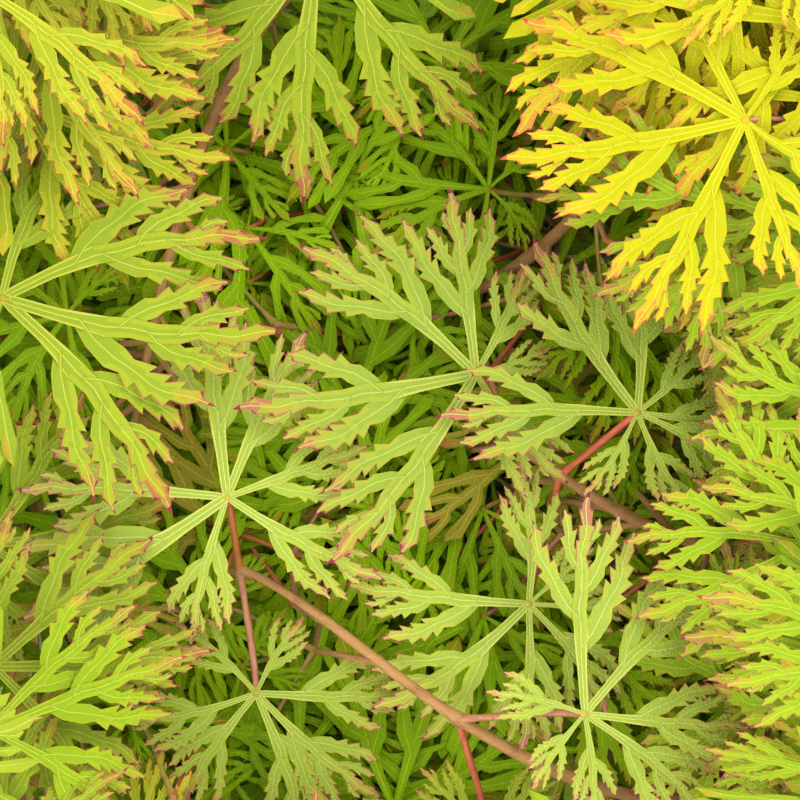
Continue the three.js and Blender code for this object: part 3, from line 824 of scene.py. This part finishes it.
class Number:
    """A socket that takes part in sums."""

    def __init__(self, look, socket):
        self.look, self.socket = look, socket

    def output(self, index):
        """Another socket of the same node."""
        return Number(self.look, self.socket.node.outputs[index])

    def sum(self, operation, *values):
        return self.look.node("Math", {"operation": operation}, dict(enumerate(values)))

    def __add__(self, other):
        return self.sum("ADD", self, other)

    def __sub__(self, other):
        return self.sum("SUBTRACT", self, other)

    def __rsub__(self, other):
        return self.sum("SUBTRACT", other, self)

    def __mul__(self, other):
        return self.sum("MULTIPLY", self, other)

    __radd__ = __add__
    __rmul__ = __mul__

    def eased(self, low, high):
        settings = {"interpolation_type": "SMOOTHSTEP"}
        return self.look.node("MapRange", settings, {0: self, 1: low, 2: high})


class Look:
    """A material, its shader and the nodes that feed it."""

    def __init__(self, name, colour, **constants):
        self.material = bpy.data.materials.new(name)
        self.material.use_nodes = True
        self.nodes = self.material.node_tree.nodes
        self.links = self.material.node_tree.links
        self.shader = self.nodes["Principled BSDF"]
        self.shader.inputs["Base Color"].default_value = paint(colour)
        for socket, value in constants.items():
            self.shader.inputs[socket.replace("_", " ")].default_value = value

    def node(self, kind, settings, sockets):
        """A node's first output. Each socket gets a value, a screen colour or a link."""
        made = self.nodes.new("ShaderNode" + kind)
        for name, value in settings.items():
            setattr(made, name, value)
        for name, value in sockets.items():
            if isinstance(value, Number):
                self.links.new(value.socket, made.inputs[name])
            else:
                made.inputs[name].default_value = paint(value) if isinstance(value, str) else value
        return Number(self, made.outputs[0])

    def place(self):
        return self.node("TexCoord", {}, {}).output(3)

    def mapped(self):
        return self.node("UVMap", {"uv_map": "along"}, {})

    def noise(self, place, scale, detail=2.0, roughness=0.5):
        sockets = {"Vector": place, "Scale": scale, "Detail": detail, "Roughness": roughness}
        return self.node("TexNoise", {}, sockets)

    def mixed(self, share, first, second):
        return self.node("Mix", {"data_type": "RGBA"}, {0: share, 6: first, 7: second}).output(2)

    def feed(self, socket, value):
        self.links.new(value.socket, self.shader.inputs[socket])

    def relief(self, height, depth, strength):
        sockets = {"Height": height, "Distance": depth, "Strength": strength}
        self.feed("Normal", self.node("Bump", {}, sockets))


def leaf_look(name, colour, gloss):
    """Leaf skin: a satin face, puckered between fine veins."""
    look = Look(name, colour, Specular_IOR_Level=0.16, IOR=1.42)
    place = look.place()
    cells = look.node("TexVoronoi", {"feature": "DISTANCE_TO_EDGE"}, {"Vector": place, "Scale": 1150.0})
    pucker = look.noise(place, 420.0)
    look.feed("Roughness", pucker * 0.22 + gloss)
    look.relief(cells.eased(0.0, 0.28) * 0.6 + pucker, 0.0003, 0.5)
    return look.material


def bark_look(name, ground, streak, dark, pores, scale=1.0):
    """Young bark: fine pale streaks along the limb, small pores and darker patches."""
    look = Look(name, ground, Specular_IOR_Level=0.35)
    along = look.node("SeparateXYZ", {}, {0: look.mapped()})
    around = along.output(1)
    fibre = look.node("CombineXYZ", {}, {0: along * 0.35, 1: around * 46 * scale})
    patch = look.node("CombineXYZ", {}, {0: along * 0.16, 1: around * 3})
    streaks = look.noise(fibre, 1.0, 3.0, 0.6).eased(0.5, 0.72)
    patches = look.noise(patch, 1.0, 2.0).eased(0.45, 0.75)
    spots = look.node("CombineXYZ", {}, {0: along * 0.9, 1: around * 9 * scale})
    pore = look.node("TexVoronoi", {}, {"Vector": spots, "Scale": 1.0}).eased(0.24, 0.1)
    colour = look.mixed(patches, ground, dark)
    colour = look.mixed(streaks * 0.75, colour, streak)
    look.feed("Base Color", look.mixed(pore * pores, colour, streak))
    look.feed("Roughness", 0.72 - streaks * 0.2)
    look.relief(streaks * 0.5 + pore * pores, 0.0002, 0.6)
    return look.material


def stalk_look(name, ground, blush):
    """Leaf stalk: smooth, waxy, blushed in patches."""
    look = Look(name, ground, Specular_IOR_Level=0.45)
    mapped = look.mapped()
    long = look.node("VectorMath", {"operation": "MULTIPLY"}, {0: mapped, 1: (0.22, 3.0, 1.0)})
    fine = look.node("VectorMath", {"operation": "MULTIPLY"}, {0: mapped, 1: (1.2, 14.0, 1.0)})
    patches = look.noise(long, 1.0).eased(0.35, 0.65)
    grain = look.noise(fine, 1.0, 3.0)
    look.feed("Base Color", look.mixed(patches, ground, blush))
    look.feed("Roughness", 0.34 + grain * 0.2)
    look.relief(grain, 0.0001, 0.35)
    return look.material


def wood_look(name, ground, line):
    """Cut wood, with its fibres seen end on."""
    look = Look(name, ground, Specular_IOR_Level=0.3)
    dots = look.noise(look.place(), 2600.0, 2.0)
    look.feed("Base Color", look.mixed(dots.eased(0.4, 0.7), ground, line))
    look.feed("Roughness", 0.7 + dots * 0.2)
    look.relief(dots, 0.0001, 0.4)
    return look.material


# For each tint, the colour of each zone
# The deep and shade tints are painted shade, a saturated green for inner leaves in the shade of the others
# with light shining through them; the lime tint paints the glow of light through the leaves at the upper
# right.
TINTS = {
    "pale": ("#c0ce74", "#c0c466", "#98ac42", "#a4b240", "#b4aa48", "#b47862", "#943250"),
    "sage": ("#b0be5e", "#b2b656", "#8a9e3a", "#96a438", "#aa983e", "#ac7058", "#8e2a48"),
    "meadow": ("#b4be4a", "#b0b444", "#889c26", "#96a628", "#a89a30", "#ac704a", "#8e2a46"),
    "spring": ("#c8ca50", "#bcba30", "#98a420", "#acae28", "#bea832", "#b87c3e", "#aa3e42"),
    "lime": ("#cec838", "#c4c01c", "#b2b20a", "#bcb80e", "#ccac2a", "#cc9040", "#c4603c"),
    "fresh": ("#b6c650", "#a6ba2c", "#8aa61a", "#96ae1c", "#aca42c", "#ac864a", "#a24a48"),
    "deep": ("#a4bc1c", "#98b408", "#80a600", "#8aaa02", "#9c9812", "#9e7e2c", "#985040"),
    "shade": ("#96b210", "#8aa804", "#769a00", "#7c9a02", "#8a8c0e", "#8c761e", "#865234"),
    "russet": ("#bca850", "#b0a038", "#969024", "#a08638", "#ac7440", "#a85c48", "#943c46"),
}
LEAF_LOOKS = [
    leaf_look(f"{tint} {zone}", colour, 0.36 if zone == "blade" else 0.4)
    for tint, colours in TINTS.items()
    for zone, colour in zip(ZONES, colours)
]
SHOOT_BARK = bark_look("shoot bark", "#ae804e", "#d0a878", "#8c5c34", 0.7)
BOUGH_BARK = bark_look("bough bark", "#96624a", "#c09478", "#784836", 0.8, 1.3)
STEM_BARK = bark_look("stem bark", "#8f6552", "#bb9583", "#6c4638", 1.0, 2.4)
STALK_LOOKS = [
    stalk_look("orange stalk", "#b9752f", "#b4603a"),
    stalk_look("red stalk", "#cc7440", "#c0504a"),
    stalk_look("pink stalk", "#b8885e", "#b0665a"),
    stalk_look("green stalk", "#9a9c46", "#a5743e"),
]
CUT_LOOKS = [
    wood_look("cut rim", "#8f9a4c", "#6f7d3a"),
    wood_look("cut wood", "#dcc79a", "#c4a878"),
    wood_look("pith", "#b08a5c", "#8f6a42"),
]


# Leaves in the view and under this height get the deep and shade tints, painted shade: a saturated green for
# leaves in the shade of the others, with light shining through them.
SHADED_LEVEL = 64  # leaves in the view and under this height are in the shade of the others
# Under this height, more of those shaded leaves get the darker shade tint, painted shade.
SHADE_MIDDLE = 40
# Leaves out of the view and under this height get the deep tint more often, as painted shade.
OPEN_SHADE_LEVEL = 60
# Leaves above this height get the bright tints, painted light on top.
TOP_LEVEL = 88


def tint_of(leaf, *keys):
    """A ruled leaf's tint, by where it is, with light and shade painted in: deep inside, in the shade of the
    others, bright on top, and yellower at the upper right, where the lighter lime tint paints the glow of
    light through the leaves.
    """
    x, y, z = leaf["hub"]
    pick = chance(*keys, 5)
    if in_view(leaf["hub"], 60) and z < SHADED_LEVEL:
        if pick > 0.96:
            return "russet"
        return "deep" if z > SHADE_MIDDLE and pick < 0.7 or pick < 0.3 else "shade"
    if z > TOP_LEVEL:
        if x > 20 and y > 48:
            return "lime" if pick < 0.8 else "spring"
        if x < 0 and y < 0:
            return "meadow" if pick < 0.85 else "fresh"
        return "fresh" if x > 0 and pick < 0.8 else "spring"
    if z > OPEN_SHADE_LEVEL:
        return "meadow" if pick < 0.6 else "sage" if pick < 0.8 else "spring"
    return "deep" if pick < 0.6 else "meadow"


# Pieces

STEM_RINGS = 220
STEM_SIDES = 32
BOUGH_SIDES = 16
SHOOT_SIDES = 12
TWIG_SIDES = 9
BOUGH_RINGS = 60
SHOOT_RINGS = 110
TWIG_RINGS = 12
STEM_PORES = 150
CUT_SLANT = 6  # the rings lean back from the slanting cut over this length
# The cut's rings from its bark to its pith: slot, outer and inner share of the radius
CUT_RINGS = ((0, 1, 0.94), (1, 0.94, 0.88), (2, 0.88, 0.5), (2, 0.5, 0.14), (3, 0.14, 0.01))
STEM_CLOSING = ((1, 0), (0.7, 0.5), (0.02, 0.7))  # past the stem's tip: share of the radius and distance


def girth_of_stem(share):
    return STEM_RADII[0] + (STEM_RADII[1] - STEM_RADII[0]) * share


def stem_rings(path, gone):
    """The stem's rings: tapered, swollen and scarred where a shoot leaves, ridged and dotted with pores."""
    nodes_at = np.array([gone[int(at * (STEM_RINGS - 1))] for at, *_ in SHOOTS.values()])
    pores = [(between((3, 330), 31, n), between((0, 6.28), 32, n)) for n in range(STEM_PORES)]
    around = 2 * np.pi * np.arange(STEM_SIDES) / STEM_SIDES
    radii = []
    for here in gone:
        girth = girth_of_stem(here / gone[-1])
        swell = 0.55 * bump(here - nodes_at, 4).max()
        scar = 0.22 * bump(here - nodes_at - 6, 0.9).max()
        ring = girth * (0.985 + 0.012 * ripple(here * 0.12, 41)) + swell - scar
        ring = ring + 0.06 * girth / 5 * np.sin(around * 11 + 2.2 * ripple(here * 0.07, 42))
        for at, turn in pores:
            if abs(here - at) < 2.5:
                off = np.angle(np.exp(1j * (around - turn))) * girth
                ring = ring + 0.16 * bump(here - at, 1.0) * bump(off, 0.5)
        radii.append(ring)
    rings = rounds(path, radii, STEM_SIDES)
    tangent = unit(path[1] - path[0])
    slide = -((rings[0] - path[0]) @ CUT_NORMAL) / (tangent @ CUT_NORMAL)
    for i, here in enumerate(gone):
        if here < CUT_SLANT:
            rings[i] += (slide * (1 - here / CUT_SLANT))[:, None] * tangent
    return rings


def make_stem():
    path = evenly(MAIN_STEM, 0, 1, STEM_RINGS)
    gone = distances(path)
    rings = stem_rings(path, gone)
    skin = Skin()
    add_rings(skin, rings, gone)
    for slot, *shares in CUT_RINGS:
        face = [path[0] + (rings[0] - path[0]) * share for share in shares]
        skin.add(np.concatenate(face), wrapped(2, STEM_SIDES)[:, ::-1], slot)
    tip = unit(path[-1] - path[-2])
    closing = [path[-1] + (rings[-1] - path[-1]) * share + tip * on for share, on in STEM_CLOSING]
    skin.add(np.concatenate(closing), wrapped(len(closing), STEM_SIDES), 0)
    skin.finish("stem", [STEM_BARK, *CUT_LOOKS], "stem_bark", "main_stem")


def make_bough(index, name):
    """The bare part of a shoot, with a collar and a scar where it leaves the stem."""
    at, bare = SHOOTS[name][0], SHOOTS[name][3]
    path = evenly(curves[name], 0, bare, BOUGH_RINGS)
    gone = distances(path)
    out = gone - girth_of_stem(at)
    collar = 0.9 * bump(np.maximum(out, 0), 2.2) * (gone > 0)
    groove = 0.12 * bump(out - 3.5, 0.5)
    girth = BOUGH_RADII[0] + (BOUGH_RADII[1] - BOUGH_RADII[0]) * gone / gone[-1]
    girth = girth + collar - groove + 0.05 * ripple(gone * 0.3, index, 51)
    around = 2 * np.pi * np.arange(BOUGH_SIDES) / BOUGH_SIDES
    waves = [ripple(here * 0.1, index, 52) for here in gone]
    ridged = [g * (1 + 0.018 * np.sin(around * 6 + wave)) for g, wave in zip(girth, waves)]
    skin = Skin()
    add_limb(skin, path, ridged, BOUGH_SIDES)
    skin.finish(f"bough_of_{name}", [BOUGH_BARK], "bough_bark", f"bough_{name}")


def add_shoot(skin, index, name):
    """The leafy part of a shoot, a little swollen at each stalk, and its twigs."""
    path = evenly(curves[name], SHOOTS[name][3], 1, SHOOT_RINGS)
    gone = distances(path)
    girth = SHOOT_RADII[0] + (SHOOT_RADII[1] - SHOOT_RADII[0]) * gone / gone[-1]
    girth = girth + 0.03 * ripple(gone * 0.5, index, 53)
    for leaf in leaves[name]:
        near = np.linalg.norm(path - leaf["root"], axis=1)
        if near.min() < 2:
            girth = girth + 0.28 * bump(near, 1.7) * (girth < 1.9)
    add_limb(skin, path, girth, SHOOT_SIDES)
    share = np.linspace(0, 1, TWIG_RINGS)
    girth = 0.95 - 0.3 * share + 0.35 * bump(share, 0.06) + 0.25 * bump(1 - share, 0.05)
    for twig in twigs[name]:
        add_limb(skin, bezier(twig, share), girth, TWIG_SIDES)


def make_foliage(index, name):
    woody, leafy = Skin(), Skin()
    add_shoot(woody, index, name)
    for n, leaf in enumerate(leaves[name]):
        tint = leaf.get("tint") or tint_of(leaf, index, n)
        add_leaf(leafy, leaf, len(ZONES) * list(TINTS).index(tint), 800, index, n)
        add_stalk(woody, leaf, 1 + stalk_of(leaf, tint, index, n), 810, index, n)
    woody.finish(f"twigs_{name}", [SHOOT_BARK, *STALK_LOOKS], "foliage", f"foliage_{name}")
    leafy.finish(f"leaves_{name}", LEAF_LOOKS, "foliage", f"foliage_{name}")


make_stem()
for index, (name, spec) in enumerate(SHOOTS.items()):
    if spec[3]:
        make_bough(index, name)
    make_foliage(index, name)


# Floor, light and camera

FLOOR_HALF = 2
LAMPS_AIM = np.array([0, 0, 0.06])
FOCAL_LENGTH = 85


def area(name, place, size, watts, colour):
    light = bpy.data.lights.new(name, "AREA")
    light.shape = "DISK"
    light.size, light.energy, light.color = size, watts, colour
    lamp = bpy.data.objects.new(name, light)
    lamp.location = place
    lamp.rotation_euler = Vector(LAMPS_AIM - place).to_track_quat("-Z", "Y").to_euler()
    bpy.context.scene.collection.objects.link(lamp)


corners = [(x * FLOOR_HALF, y * FLOOR_HALF, 0) for x, y in ((-1, -1), (1, -1), (1, 1), (-1, 1))]
floor_mesh = bpy.data.meshes.new("floor")
floor_mesh.from_pydata(corners, [], [(0, 1, 2, 3)])
floor_mesh.materials.append(Look("pale floor", "#c3c3c6", Roughness=0.8).material)
floor = bpy.data.objects.new("floor", floor_mesh)
bpy.context.scene.collection.objects.link(floor)

area("key", (0.5, 0.6, 1.1), 0.9, 9.5, (1, 0.98, 0.88))
area("fill", (-0.8, -0.5, 0.9), 1.2, 8.5, (1, 0.99, 0.88))
world = bpy.data.worlds.new("studio")
world.use_nodes = True
sky = world.node_tree.nodes["Background"]
sky.inputs["Color"].default_value = (1, 0.98, 0.84, 1)
sky.inputs["Strength"].default_value = 1.25
bpy.context.scene.world = world

lens = bpy.data.cameras.new("camera")
lens.lens = FOCAL_LENGTH
camera = bpy.data.objects.new("camera", lens)
camera.location = (EYE + SET_DOWN) / 1000
bpy.context.scene.collection.objects.link(camera)
bpy.context.scene.camera = camera
bpy.context.scene.view_settings.view_transform = "Standard"
